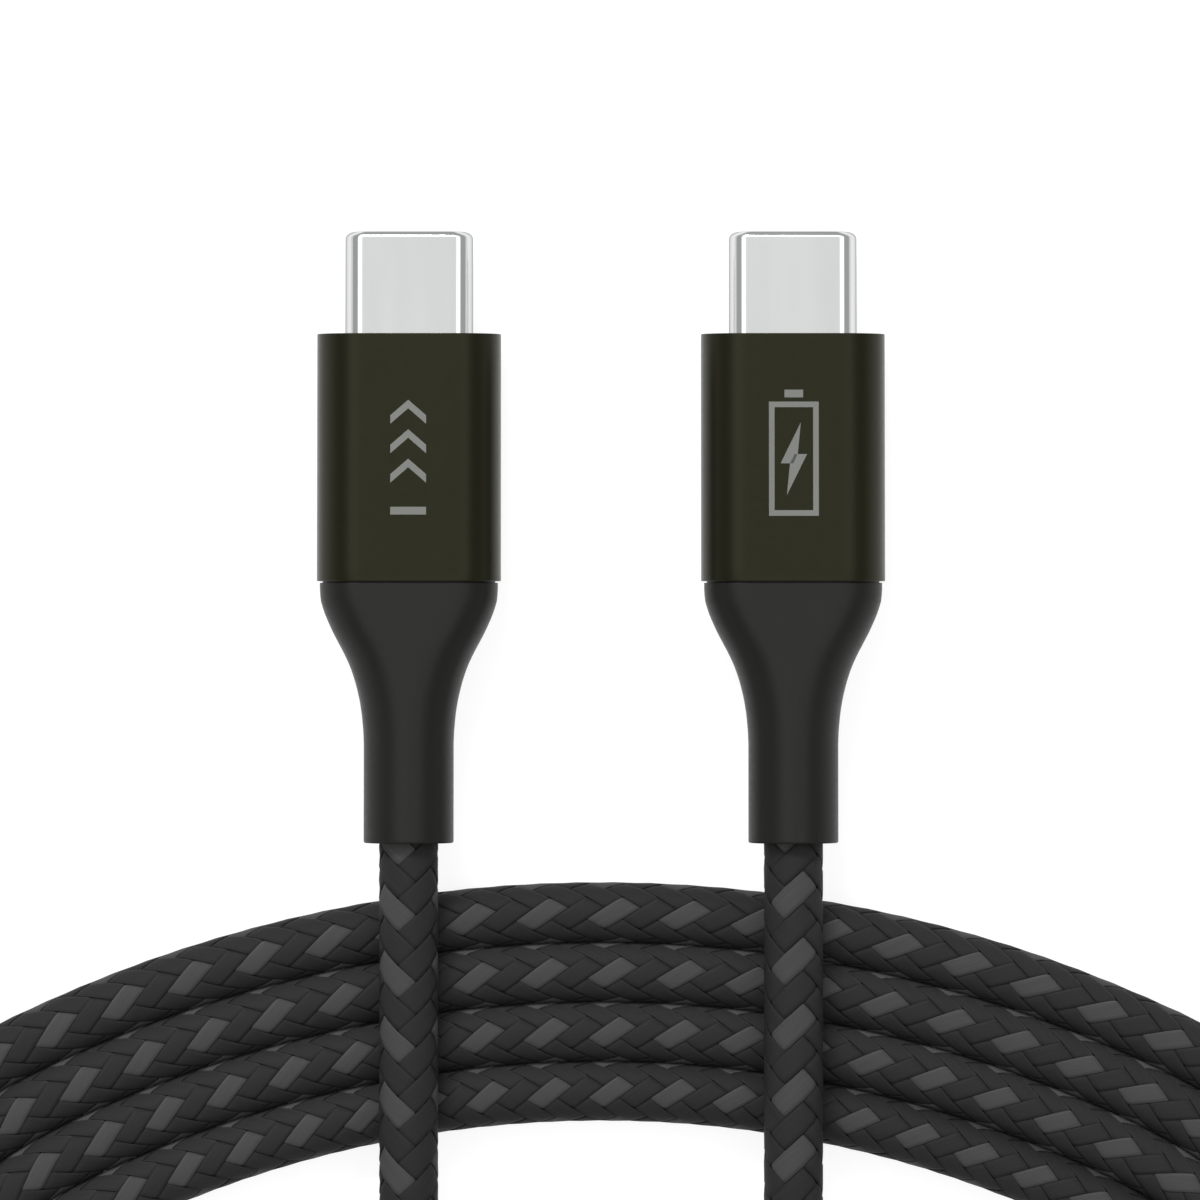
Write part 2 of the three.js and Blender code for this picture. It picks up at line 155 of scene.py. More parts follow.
def outline(w, t, r, nc=10, nx=6):
    """Closed rounded-rectangle outline, counterclockwise in x,z, the same number of points for every size."""
    r = min(r, w / 2 - 1e-3, t / 2 - 1e-3)
    a, b = w / 2 - r, t / 2 - r
    pts = []
    for k, (cx, cz) in enumerate(((a, -b), (a, b), (-a, b), (-a, -b))):
        for i in range(nc + 1):
            ang = -math.pi / 2 + k * math.pi / 2 + math.pi / 2 * i / nc
            pts.append((cx + r * math.cos(ang), cz + r * math.sin(ang)))
        if k in (1, 3):
            nxt = (-a, b) if k == 1 else (a, -b)
            z = b + r if k == 1 else -b - r
            for i in range(1, nx):
                pts.append((cx + (nxt[0] - cx) * i / nx, z))
    return np.array(pts)

def loft(name, sections, side, material, upright=None):
    """sections: list of (y, outline points); the last joins the first, so the loft is a closed ring.
    upright: y limits beyond which a section stands square to the surface below instead of square to the plug."""
    rings = np.array([np.column_stack([o[:, 0], np.full(len(o), y), o[:, 1]]) for y, o in sections])
    n, m = rings.shape[:2]
    if upright:
        lo, hi = upright
        y = rings[:, :, 1]
        amount = np.clip(np.maximum((lo + 1.5 - y) / 1.5, (y - hi + 1.5) / 1.5), 0, 1)
        rings[:, :, 1] = y - rings[:, :, 2] * math.tan(TILT) * amount
    verts = plug_to_world(rings.reshape(-1, 3), side)
    ob = new_mesh(name, verts, grid_faces(n, m, wrap_rows=True), material=material)
    fix_outward(ob)
    return ob

def fix_outward(ob):
    me = ob.data
    co = np.zeros(len(me.vertices) * 3, np.float32); me.vertices.foreach_get("co", co); co = co.reshape(-1, 3).astype(float)
    me.calc_loop_triangles()
    t = np.zeros(len(me.loop_triangles) * 3, np.int32); me.loop_triangles.foreach_get("vertices", t); t = t.reshape(-1, 3)
    vol = np.einsum("ij,ij->i", co[t[:, 0]], np.cross(co[t[:, 1]], co[t[:, 2]])).sum()
    if vol < 0:
        me.flip_normals()

def sharp(ob, degrees=40):
    """Smooth shading that keeps edges sharper than this angle."""
    me = ob.data
    me.update()
    n = np.zeros(len(me.polygons) * 3, np.float32); me.polygons.foreach_get("normal", n); n = n.reshape(-1, 3)
    first = {}
    limit = math.cos(math.radians(degrees))
    edges = {tuple(sorted(e.vertices)): e.index for e in me.edges}
    flags = np.zeros(len(me.edges), bool)
    for p in me.polygons:
        for k in p.edge_keys:
            if k in first:
                if float(n[p.index] @ n[first[k]]) < limit:
                    flags[edges[tuple(sorted(k))]] = True
            else:
                first[k] = p.index
    a = me.attributes.get("sharp_edge") or me.attributes.new("sharp_edge", "BOOLEAN", "EDGE")
    a.data.foreach_set("value", flags)

def spline(points, step):
    """Natural cubic through the points, resampled every step mm: positions and arc length."""
    P = np.asarray(points, float)
    t = np.concatenate([[0], np.cumsum(np.linalg.norm(np.diff(P, axis=0), axis=1))])
    h = np.diff(t); n = len(P)
    A = np.zeros((n, n)); R = np.zeros((n, 3))
    A[0, 0] = A[-1, -1] = 1
    for i in range(1, n - 1):
        A[i, i - 1], A[i, i], A[i, i + 1] = h[i - 1], 2 * (h[i - 1] + h[i]), h[i]
        R[i] = 6 * ((P[i + 1] - P[i]) / h[i] - (P[i] - P[i - 1]) / h[i - 1])
    S = np.linalg.solve(A, R)
    def at(q):
        q = np.clip(q, 0, t[-1]); i = np.clip(np.searchsorted(t, q, side="right") - 1, 0, n - 2)
        d0, d1, hh = (q - t[i])[:, None], (t[i + 1] - q)[:, None], h[i][:, None]
        return (S[i] * d1**3 + S[i + 1] * d0**3) / (6 * hh) + (P[i] / hh - S[i] * hh / 6) * d1 + (P[i + 1] / hh - S[i + 1] * hh / 6) * d0
    q = np.linspace(0, t[-1], int(t[-1] / 0.25) + 1)
    X = at(q)
    s = np.concatenate([[0], np.cumsum(np.linalg.norm(np.diff(X, axis=0), axis=1))])
    m = int(round(s[-1] / step))
    u = np.linspace(0, s[-1], m + 1)
    return np.stack([np.interp(u, s, X[:, k]) for k in range(3)], 1), u

LINE, LINE_S = spline(ROUTE, 0.2)
CORD_LEN = float(LINE_S[-1])

def cord_frames(s):
    """Centre, tangent, up and side vectors of the cord at arc lengths s. Past either end the line runs straight on."""
    P = np.stack([np.interp(s, LINE_S, LINE[:, k]) for k in range(3)], -1)
    tan = np.gradient(LINE, axis=0); tan /= np.linalg.norm(tan, axis=1)[:, None]
    T = np.stack([np.interp(s, LINE_S, tan[:, k]) for k in range(3)], -1)
    T /= np.linalg.norm(T, axis=-1)[..., None]
    over = np.where(s < 0, s, np.where(s > CORD_LEN, s - CORD_LEN, 0.0))
    P = P + T * over[..., None]
    up = np.array([0, 0, 1.0]) - T[..., 2:3] * T
    up /= np.linalg.norm(up, axis=-1)[..., None]
    return P, T, up, np.cross(T, up)

# ---------------------------------------------------------------- the braid
R_OUT = CORD_D / 2
YARN_T = 0.20

def braid(s0, s1, N, lay, light_hand, row_deg, cell_at, tuck0=False, tuck1=False, fill=0.992, squash=(1.0, 1.0), spread=0.0, phase=None, low=(1, 1), inside=None):
    """Flat yarns, N each way, over two and under two. light_hand is the direction in which the light yarns turn.
    row_deg puts a row of light floats at that angle from the top, and cell_at is the arc length of one float's middle.
    squash is the section's width and height against a true circle, and spread opens the yarns on the upper side.
    phase, if given, holds arc lengths and the braid's phase there, where a phase of 1 is half a yarn's pitch.
    low is the sign of the edge that gets the deepest painted shade in the yarn material, for the yarns turning each
    way; it puts that edge towards -Y on the tails and on the coil's front arcs.
    inside, if given, holds the arc lengths between which another turn lies against the outer side of the cord; there
    the yarns' colour is lifted on the outer side, painted light for the light that the next turn blocks, and all along
    the braid the painted edge shade is lifted on the outer side, painted light as well.
    Every mesh row lies along the crossing yarns.
    Returns one (verts, faces, caps, across, along, group, seed, tone) per yarn."""
    w = 2 * math.pi / lay
    alpha = math.atan(2 * math.pi * R_OUT / lay)
    half = 0.5 * fill * 2 * math.pi / N          # half a yarn's width, as an angle round the cord
    k_per_mm = 2 * N / lay
    centre = 0.5 if light_hand > 0 else 1.5
    s_zero = cell_at - centre / k_per_mm
    rot = math.radians(row_deg) - light_hand * centre * math.pi / N
    u = np.array([-1.0, -0.94, -0.66, 0.0, 0.66, 0.94, 1.0, 0.85, -0.85])
    h = np.array([-0.036, -0.010, 0.0, 0.008, 0.0, -0.010, -0.036, -YARN_T, -YARN_T])
    if phase is None:
        sk = np.array([s0 - 50.0, s1 + 50.0]); kk = k_per_mm * (sk - s_zero)
    else:
        sk, kk = phase
    steps = np.array([-0.34, -0.15, -0.05, 0.05, 0.15, 0.34, 1.0])
    out = []
    for hand in (1, -1):
        k0, k1 = np.interp([s0, s1], sk, kk) + (0.25, -0.25)
        turn = 1.5 if hand > 0 else 0.5          # where a yarn of this hand goes from over to under
        m0, m1 = int(math.floor((k0 - turn) / 2)), int(math.ceil((k1 - turn) / 2))
        kap = (turn + 2 * np.arange(m0, m1 + 1)[:, None] + steps[None]).ravel()
        kap = np.concatenate([[k0], kap[(kap > k0 + 0.05) & (kap < k1 - 0.05)], [k1]])
        for i in range(N):
            kp = kap[:, None] - hand * N * half * u[None] / (2 * math.pi)
            s = np.interp(kp, kk, sk)
            ph = kap - (0.5 if hand > 0 else 1.5) - (2 if i % 2 else 0)
            c = np.cos(math.pi * ph / 2)
            lift = np.tanh(4.6 * c)
            dome = 0.012 * np.clip(c, 0, 1)
            th = rot + hand * math.pi / N * kp + 2 * math.pi * i / N + half * u[None]
            th = th + spread * np.sin(th)
            P, T, U, B = cord_frames(s)
            ends = np.zeros_like(s)
            if tuck0: ends += np.clip(1 - (s - s0) / 1.1, 0, 1) ** 2
            if tuck1: ends += np.clip(1 - (s1 - s) / 1.1, 0, 1) ** 2
            r = R_OUT - 0.012 - 0.5 * 0.21 * (1 - lift[:, None]) + h[None] + dome[:, None] - 0.26 * ends
            painted_lift = np.ones_like(s)
            # painted light: the colour is lifted on the outer side of the inner turns, and on the outer edges of every
            # yarn
            if inside:
                sunk = np.clip((s - inside[0]) / 40, 0, 1) * np.clip((inside[1] - s) / 40, 0, 1)
                painted_lift += 0.62 * sunk * np.clip((-np.sin(th) - 0.3) / 0.7, 0, 1) ** 1.3
                painted_lift *= 1 + 0.42 * np.clip((-np.sin(th) + 0.1) / 0.6, 0, 1) * (np.abs(u) > 0.9)[None]
            V = P + r[..., None] * (squash[1] * np.cos(th)[..., None] * U + squash[0] * np.sin(th)[..., None] * B)
            n, m = len(kap), len(u)
            q = grid_faces(n, m, flip=False)
            rev = np.arange(m)[::-1]
            caps = np.stack([rev, (n - 1) * m + np.arange(m)])
            light = hand == light_hand and i % 2 == 0
            group = "light" if light else ("dark" if hand == light_hand else ("cross_a" if i % 2 == 0 else "cross_b"))
            out.append((V.reshape(-1, 3), q, caps, np.tile(u, n) * low[0 if hand > 0 else 1], (s / math.cos(alpha)).ravel(), group, (i * 7 + (3 if hand > 0 else 0)) % 16, painted_lift.ravel()))
    return out

# ---------------------------------------------------------------- materials
def material(name):
    m = bpy.data.materials.new(name)
    m.use_nodes = True
    nt = m.node_tree
    nt.nodes.clear()
    out = nt.nodes.new("ShaderNodeOutputMaterial")
    bsdf = nt.nodes.new("ShaderNodeBsdfPrincipled")
    nt.links.new(bsdf.outputs[0], out.inputs[0])
    return m, nt, bsdf

def node(nt, kind, **values):
    n = nt.nodes.new(kind)
    for k, v in values.items():
        if k in n.inputs:
            n.inputs[k].default_value = v
        else:
            setattr(n, k, v)
    return n

def noise(nt, scale, detail=4.0, rough=0.6, stretch=None):
    tc = node(nt, "ShaderNodeTexCoord")
    n = node(nt, "ShaderNodeTexNoise", Scale=scale, Detail=detail, Roughness=rough)
    if stretch:
        mp = node(nt, "ShaderNodeMapping", Scale=stretch)
        nt.links.new(tc.outputs["Object"], mp.inputs["Vector"])
        nt.links.new(mp.outputs[0], n.inputs["Vector"])
    else:
        nt.links.new(tc.outputs["Object"], n.inputs["Vector"])
    return n

def ramp(nt, source, stops):
    r = node(nt, "ShaderNodeValToRGB")
    el = r.color_ramp.elements
    while len(el) < len(stops): el.new(0.5)
    for e, (p, c) in zip(el, stops):
        e.position = p
        e.color = (*c, 1) if len(c) == 3 else c
    nt.links.new(source, r.inputs[0])
    return r

def bump(nt, bsdf, source, strength, distance):
    b = node(nt, "ShaderNodeBump", Strength=strength, Distance=distance)
    nt.links.new(source, b.inputs["Height"])
    nt.links.new(b.outputs[0], bsdf.inputs["Normal"])
    return b

def plastic(name, colour, rough, spread=0.04, grain=900.0, depth=0.00001, strength=0.15, spec=0.4, vary=0.12, coat=0.0):
    m, nt, b = material(name)
    n = noise(nt, grain, 3, 0.55)
    big = noise(nt, 120.0, 2, 0.5)
    lo = tuple(c * (1 - vary) for c in colour); hi = tuple(c * (1 + vary) for c in colour)
    r = ramp(nt, big.outputs["Fac"], [(0.3, lo), (0.7, hi)])
    nt.links.new(r.outputs[0], b.inputs["Base Color"])
    rr = ramp(nt, n.outputs["Fac"], [(0.3, (rough - spread,) * 3), (0.7, (rough + spread,) * 3)])
    nt.links.new(rr.outputs[0], b.inputs["Roughness"])
    b.inputs["Specular IOR Level"].default_value = spec
    if coat: b.inputs["Coat Weight"].default_value = coat
    bump(nt, b, n.outputs["Fac"], strength, depth)
    return m

def metal(name, colour, rough, stretch, spread=0.05, scale=400.0, strength=0.08, depth=0.000004):
    m, nt, b = material(name)
    b.inputs["Metallic"].default_value = 1.0
    b.inputs["Specular Tint"].default_value = (0.4, 0.4, 0.4, 1)
    n = noise(nt, scale, 5, 0.6, stretch)
    lo = tuple(c * 0.95 for c in colour)
    r = ramp(nt, n.outputs["Fac"], [(0.3, lo), (0.7, colour)])
    nt.links.new(r.outputs[0], b.inputs["Base Color"])
    rr = ramp(nt, n.outputs["Fac"], [(0.3, (rough - spread,) * 3), (0.7, (rough + spread,) * 3)])
    nt.links.new(rr.outputs[0], b.inputs["Roughness"])
    bump(nt, b, n.outputs["Fac"], strength, depth)
    return m

def yarn(name, colour, rough=0.62):
    """Tightly packed filaments lying along a flat yarn."""
    m, nt, b = material(name)
    ac = node(nt, "ShaderNodeAttribute", attribute_name="across")
    al = node(nt, "ShaderNodeAttribute", attribute_name="along")
    sd = node(nt, "ShaderNodeAttribute", attribute_name="yarn_seed")
    comb = node(nt, "ShaderNodeCombineXYZ")
    sx = node(nt, "ShaderNodeMath", operation="MULTIPLY"); sx.inputs[1].default_value = 9.0
    sy = node(nt, "ShaderNodeMath", operation="MULTIPLY"); sy.inputs[1].default_value = 0.35
    nt.links.new(ac.outputs["Fac"], sx.inputs[0]); nt.links.new(al.outputs["Fac"], sy.inputs[0])
    nt.links.new(sx.outputs[0], comb.inputs[0]); nt.links.new(sy.outputs[0], comb.inputs[1]); nt.links.new(sd.outputs["Fac"], comb.inputs[2])
    fil = node(nt, "ShaderNodeTexNoise", Scale=1.0, Detail=3.0, Roughness=0.55)
    nt.links.new(comb.outputs[0], fil.inputs["Vector"])
    lo = tuple(c * 0.87 for c in colour); hi = tuple(c * 1.11 for c in colour)
    r = ramp(nt, fil.outputs["Fac"], [(0.28, lo), (0.72, hi)])
    # edges of each yarn are darkened in colour, painted shade for the grooves between the yarns, most of all along the
    # edge that the braid's low sign marks, where it is a painted shadow under each yarn
    ab = node(nt, "ShaderNodeMath", operation="MULTIPLY_ADD"); ab.inputs[1].default_value = 0.5; ab.inputs[2].default_value = 0.5
    nt.links.new(ac.outputs["Fac"], ab.inputs[0])
    painted_edge_shade = ramp(nt, ab.outputs[0], [(0.0, (0.92, 0.92, 0.92)), (0.04, (1, 1, 1)), (0.78, (1, 1, 1)), (1.0, (0.58, 0.58, 0.58))])
    mx = node(nt, "ShaderNodeMix", data_type="RGBA", blend_type="MULTIPLY")
    mx.inputs[0].default_value = 1.0
    nt.links.new(r.outputs[0], mx.inputs[6]); nt.links.new(painted_edge_shade.outputs[0], mx.inputs[7])
    # painted light: this attribute multiplies the colour, lifting the inner turns on their outer side and the yarns'
    # outer edges
    painted_lift_src = node(nt, "ShaderNodeAttribute", attribute_name="painted_lift")
    mt = node(nt, "ShaderNodeMix", data_type="RGBA", blend_type="MULTIPLY")
    mt.inputs[0].default_value = 1.0
    nt.links.new(mx.outputs[2], mt.inputs[6]); nt.links.new(painted_lift_src.outputs["Fac"], mt.inputs[7])
    nt.links.new(mt.outputs[2], b.inputs["Base Color"])
    rr = ramp(nt, fil.outputs["Fac"], [(0.3, (rough - 0.07,) * 3), (0.7, (rough + 0.07,) * 3)])
    nt.links.new(rr.outputs[0], b.inputs["Roughness"])
    b.inputs["Specular IOR Level"].default_value = 0.09
    b.inputs["Sheen Weight"].default_value = 0.0
    b.inputs["Sheen Roughness"].default_value = 0.5
    bump(nt, b, fil.outputs["Fac"], 0.24, 0.00003)
    return m

HOUSING_TINT = (1.0, 1.0, 0.66, 1)
MAT = {
    "shell": metal("plug_steel", (0.73, 0.743, 0.738), 0.13, (1.0, 0.12, 1.0), spread=0.02),
    "spring": metal("spring_steel", (0.70, 0.70, 0.69), 0.32, (0.2, 1.0, 1.0)),
    "gold": metal("contact_gold", (0.85, 0.63, 0.28), 0.24, (1.0, 0.2, 1.0)),
    "lcp": plastic("insulator_black", (0.012, 0.012, 0.012), 0.5),
    "card": plastic("card_green", (0.01, 0.07, 0.03), 0.35, coat=0.3),
    "beige": plastic("component_beige", (0.42, 0.33, 0.22), 0.5),
    "chip": plastic("chip_black", (0.012, 0.012, 0.013), 0.45),
    "mould": plastic("mould_white", (0.62, 0.61, 0.57), 0.5),
    "brass": metal("ferrule_brass", (0.72, 0.55, 0.28), 0.3, (1.0, 1.0, 0.3)),
    "housing": plastic("housing_black", (0.0036, 0.0036, 0.0012), 0.34, spread=0.03, grain=2600.0, depth=0.000004, strength=0.12, spec=0.24, vary=0.06),
    "boot": plastic("boot_black", (0.0066, 0.0064, 0.0056), 0.42, spread=0.04, grain=3400.0, depth=0.00001, strength=0.2, spec=0.22, vary=0.06),
    "print": plastic("print_grey", (0.158, 0.163, 0.150), 0.5, grain=5000.0, depth=0.000003, vary=0.05),
    "yarn_dark": yarn("yarn_dark", (0.0212, 0.0212, 0.0212)),
    "yarn_light": yarn("yarn_light", (0.0535, 0.0535, 0.053)),
    "core": plastic("cord_core", (0.008, 0.008, 0.008), 0.8),
    "wire_red": plastic("wire_red", (0.45, 0.01, 0.01), 0.4), "wire_black": plastic("wire_black", (0.012, 0.012, 0.012), 0.4),
    "wire_blue": plastic("wire_blue", (0.01, 0.05, 0.3), 0.4), "wire_yellow": plastic("wire_yellow", (0.6, 0.4, 0.01), 0.4),
    "wire_green": plastic("wire_green", (0.01, 0.2, 0.05), 0.4), "wire_white": plastic("wire_white", (0.7, 0.7, 0.7), 0.4),
}

_hb = MAT["housing"].node_tree.nodes["Principled BSDF"]
_hb.inputs["Specular Tint"].default_value = HOUSING_TINT
_hb.inputs["Sheen Weight"].default_value = 0.085
_hb.inputs["Sheen Roughness"].default_value = 0.35

# ---------------------------------------------------------------- cord
# arc lengths where the tails end and the coil begins
S_JOIN = 92.0           # right tail, where it comes down into the coil
S_LEAVE = CORD_LEN - 96.0   # left tail, under the right tail where the two cross
parts = []
parts += braid(-1.2, S_JOIN + 0.5, 6, 12.6, 1, 0.0, 3.31, tuck1=True, squash=(1.022, 1.01), spread=0.24, low=(-1, 1))
# on each turn's front arc the light floats stand one behind the other, at equal angles round the coil's middle
FLOAT_STEP, FLOAT_R, FLOAT_FIRST = 0.05382, (86.0, 82.15, 78.31, 74.46), (0.0097, 0.0095, 0.0095, 0.0093)
ks, kv = [S_JOIN - 60.0], [1.5]
tops = [i for i in range(1, len(LINE) - 1) if LINE[i, 1] > LINE[i - 1, 1] and LINE[i, 1] >= LINE[i + 1, 1] and abs(LINE[i, 0]) < 6 and 100 < LINE_S[i] < CORD_LEN - 100]
for lane, top in enumerate(tops[:4]):
    near = np.abs(LINE_S - LINE_S[top]) < 52
    count = np.arange(-8, 9)
    at = np.interp(FLOAT_R[lane] * np.sin(FLOAT_FIRST[lane] + FLOAT_STEP * count) - 0.03, LINE[near, 0], LINE_S[near])
    gap = max(1, round((at[0] - ks[-1]) / 4.6))
    for n_, a_ in enumerate(at):
        kv.append(kv[-1] + 4.0 * (gap if n_ == 0 else 1)); ks.append(float(a_))
gap = (CORD_LEN + 60.0 - ks[-1]) / 4.85
kv.append(kv[-1] + 4.0 * gap); ks.append(CORD_LEN + 60.0)
# the coil's inner turns carry painted light on their outer side, where the next turn lies against them
parts += braid(S_JOIN - 0.5, S_LEAVE + 0.5, 8, 18.0, -1, 0.0, 300.0, tuck0=True, tuck1=True, squash=(1.045, 0.985), phase=(np.array(ks), np.array(kv)), inside=(float(LINE_S[tops[0]]) + 55, S_LEAVE - 30))
parts += braid(S_LEAVE - 0.5, CORD_LEN + 1.2, 6, 12.6, -1, -32.0, CORD_LEN - 0.06, tuck0=True, squash=(1.022, 1.01), spread=0.24, low=(1, -1))
for group, mat in (("light", "yarn_light"), ("dark", "yarn_dark"), ("cross_a", "yarn_dark"), ("cross_b", "yarn_dark")):
    for share in (0, 1):
        V, Q, C, ac, al, sd, painted_lift_src, base = [], [], {}, [], [], [], [], 0
        for v, q, caps, a, l, g, seed, painted_lift in [part for part in parts if part[5] == group][share::2]:
            V.append(v); Q.append(q + base); C.setdefault(caps.shape[1], []).append(caps + base)
            ac.append(a); al.append(l); sd.append(np.full(len(v), float(seed))); painted_lift_src.append(painted_lift); base += len(v)
        faces = [np.concatenate(Q)] + [np.concatenate(c) for c in C.values()]
        ob = new_mesh(f"yarns_{group}_{share + 1}", np.concatenate(V), faces, material=MAT[mat], attrs={"across": np.concatenate(ac), "along": np.concatenate(al), "yarn_seed": np.concatenate(sd), "painted_lift": np.concatenate(painted_lift_src)})
        fix_outward(ob)
        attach(ob, "cable")

# the core that the yarns are braided on
s = np.linspace(-1.0, CORD_LEN + 1.0, int(CORD_LEN / 0.8))
P, T, U, B = cord_frames(s)
th = np.linspace(0, 2 * math.pi, 17)[:-1]
V = P[:, None] + 1.50 * (np.cos(th)[None, :, None] * U[:, None] + np.sin(th)[None, :, None] * B[:, None])
core = new_mesh("cord_core", V.reshape(-1, 3), [grid_faces(len(s), 16), np.stack([np.arange(16)[::-1], (len(s) - 1) * 16 + np.arange(16)])], material=MAT["core"])
fix_outward(core)
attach(core, "cable")
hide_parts("cord_coil", "cord_tail_left", "cord_tail_right")
path = LINE[::8]
path = np.vstack([path, LINE[-1:]]) if (len(LINE) - 1) % 8 else path

# ---------------------------------------------------------------- plugs
def arc_steps(y, inset, r, sign, n=5):
    """Points of a quarter-round edge: (y, inset) from the side to the face."""
    return [(y + sign * r * math.sin(a), inset + r * (1 - math.cos(a))) for a in np.linspace(0, math.pi / 2, n + 1)]

def boot_width(d):
    b = np.array(BOOT)
    return float(np.interp(d, b[:, 0], b[:, 1]))

for side in ("left", "right"):
    # plug shell: drawn tube with its mouth rolled in
    sec = []
    o = lambda inset: outline(SHELL_W - 2 * inset, SHELL_T - 2 * inset, SHELL_T / 2 - inset, 12, 8)
    sec.append((SHELL_BACK, o(0.0)))
    for y in (-2.0, 0.0, 1.5, 3.0, 4.5, 5.6, 6.1, 6.2): sec.append((y, o(0.0)))
    # the rolled lip: the broad faces turn down gently at first, the narrow sides turn in on a wider radius
    lip = [(6.26, 0.002, 0.004), (6.31, 0.008, 0.012), (6.36, 0.019, 0.028), (6.395, 0.032, 0.044), (6.43, 0.049, 0.066), (6.47, 0.070, 0.098), (6.51, 0.092, 0.138), (6.55, 0.115, 0.188), (6.58, 0.133, 0.236), (6.605, 0.1485, 0.285), (6.63, 0.164, 0.345), (6.642, 0.182, 0.39), (6.648, 0.215, 0.435), (6.65, 0.28, 0.49)]
    for y, iz, ix in lip:
        sec.append((y, outline(SHELL_W - 2 * ix, SHELL_T - 2 * iz, SHELL_T / 2 - iz, 12, 8)))
    for y, iz, ix in ((6.645, 0.36, 0.54), (6.62, 0.40, 0.57), (6.55, 0.42, 0.58)):
        sec.append((y, outline(SHELL_W - 2 * ix, SHELL_T - 2 * iz, SHELL_T / 2 - iz, 12, 8)))
    sec.append((6.36, o(0.42)))
    sec.append((6.3, o(0.24)))
    sec.append((6.0, o(0.2)))
    sec.append((SHELL_BACK, o(0.2)))
    shell = loft(f"{side}_shell_skin", sec, side, MAT["shell"])
    sharp(shell, 50)
    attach(shell, f"{side}_plug"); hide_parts(f"{side}_plug_shell")

    # housing: hard cap, with the mouth for the shell
    o = lambda inset: outline(HOUSE_W - 2 * inset, HOUSE_T - 2 * inset, HOUSE_R - inset, 12, 8)
    m = lambda grow: outline(SHELL_W + 0.1 + 2 * grow, SHELL_T + 0.1 + 2 * grow, (SHELL_T + 0.1) / 2 + grow, 12, 8)
    sec = [(-HOUSE_L + 0.0, o(0.07))]
    sec += [(-HOUSE_L + 0.07 - 0.07 * math.cos(a), o(0.07 * (1 - math.sin(a)))) for a in np.linspace(0, math.pi / 2, 4)[1:]]
    sec += [(y, o(0.0)) for y in np.linspace(-HOUSE_L + 0.8, -0.7, 16)]
    sec += [(-0.09, o(0.0))] + [(-0.04 + 0.04 * math.sin(a), o(0.04 * (1 - math.cos(a)))) for a in np.linspace(0, math.pi / 2, 5)]
    sec += [(0.0, o(0.5)), (0.0, m(0.08)), (-0.03, m(0.02)), (-0.08, m(0.0)), (-1.25, m(0.0)), (-1.3, outline(10.07, 4.4, 1.8, 12, 8)), (-HOUSE_L, outline(10.07, 4.4, 1.8, 12, 8))]
    sec = [(y + 0.06 if y > -0.2 else y, pts) for y, pts in sec]
    house = loft(f"{side}_housing_skin", sec, side, MAT["housing"], upright=(-HOUSE_L + 0.2, -0.2))
    sharp(house, 50)
    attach(house, f"{side}_plug"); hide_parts(f"{side}_housing")

    # boot: soft tapered strain relief between the plug and the cord
    sec = []
    y0 = -HOUSE_L + 0.03
    def bsec(d, inset=0.0):
        w = boot_width(d) - 2 * inset
        t = BOOT_T - 2 * inset
        r = min(2.6 + d * 0.06, t / 2, w / 2)
        return outline(w, t, r, 12, 8)
    sec += [(y0, bsec(0.05, 0.40)), (y0, bsec(0.05, 0.17)), (-HOUSE_L - 0.09, bsec(0.05, 0.17)), (-HOUSE_L - 0.092, bsec(0.09, 0.015)), (-HOUSE_L - 0.107, bsec(0.1)), (-HOUSE_L - 0.15, bsec(0.15)), (-HOUSE_L - 0.22, bsec(0.2))]
    for d in np.arange(0.5, BOOT_L - 0.3, 0.4): sec.append((-HOUSE_L - d, bsec(d)))
    yb = BOOT_END + 0.09
    sec += [(yb + 0.3, bsec(16.9))] + [(yb + 0.12 * (1 - math.sin(a)), bsec(16.9, 0.12 * (1 - math.cos(a)))) for a in np.linspace(0, math.pi / 2, 5)]
    hole = lambda r: outline(2 * r, 2 * r, r, 12, 8)
    sec += [(yb + 0.0, hole(2.05)), (yb + 0.05, hole(1.95)), (yb + 0.2, hole(1.9))]
    for y in np.arange(yb + 0.8, y0 - 0.2, 0.8): sec.append((y, hole(1.9)))
    sec += [(y0, hole(1.9))]
    boot = loft(f"{side}_boot_skin", sec, side, MAT["boot"], upright=(BOOT_END + 0.3, y0 - 0.3))
    sharp(boot, 50)
    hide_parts(f"{side}_boot")
    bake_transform(boot)

    # the cord's end inside the boot
    sec = [(-14.2, outline(1.0, 1.0, 0.5, 12, 8)), (-14.2, outline(2.96, 2.96, 1.48, 12, 8)), (-14.3, outline(3.0, 3.0, 1.5, 12, 8))]
    sec += [(y, outline(3.0, 3.0, 1.5, 12, 8)) for y in np.linspace(-14.8, -17.8, 5)]
    sec += [(-17.9, outline(3.7, 3.7, 1.85, 12, 8))]
    sec += [(y, outline(3.74, 3.74, 1.87, 12, 8)) for y in np.linspace(-18.0, -32.5, 30)]
    sec += [(-32.6, outline(3.6, 3.6, 1.8, 12, 8))] + [(y, outline(1.0, 1.0, 0.5, 12, 8)) for y in np.linspace(-32.6, -14.7, 36)]
    end = loft(f"{side}_cord_end_skin", sec, side, MAT["core"])
    sharp(end, 50)
    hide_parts(f"{side}_cord_end")
    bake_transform(end)

# finishes of the pieces inside, which stay as the frame has them
FINISH = {"front_insulator": "lcp", "rear_insulator": "lcp", "upper_contact_row": "gold", "lower_contact_row": "gold", "latch_plate": "spring", "upper_ground_spring": "spring", "lower_ground_spring": "spring", "paddle_card": "card", "card_capacitor": "beige", "shield_can_upper": "spring", "shield_can_lower": "spring", "inner_mould": "mould", "crimp_ferrule": "brass", "marker_chip": "chip", "power_wire": "wire_red", "ground_wire": "wire_black", "control_wire": "wire_blue", "marker_power_wire": "wire_yellow", "data_plus_wire": "wire_green", "data_minus_wire": "wire_white"}
for name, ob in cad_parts.items():
    key = name.split("_", 1)[1]
    if key in FINISH:
        ob.data.materials.clear()
        ob.data.materials.append(MAT[FINISH[key]])

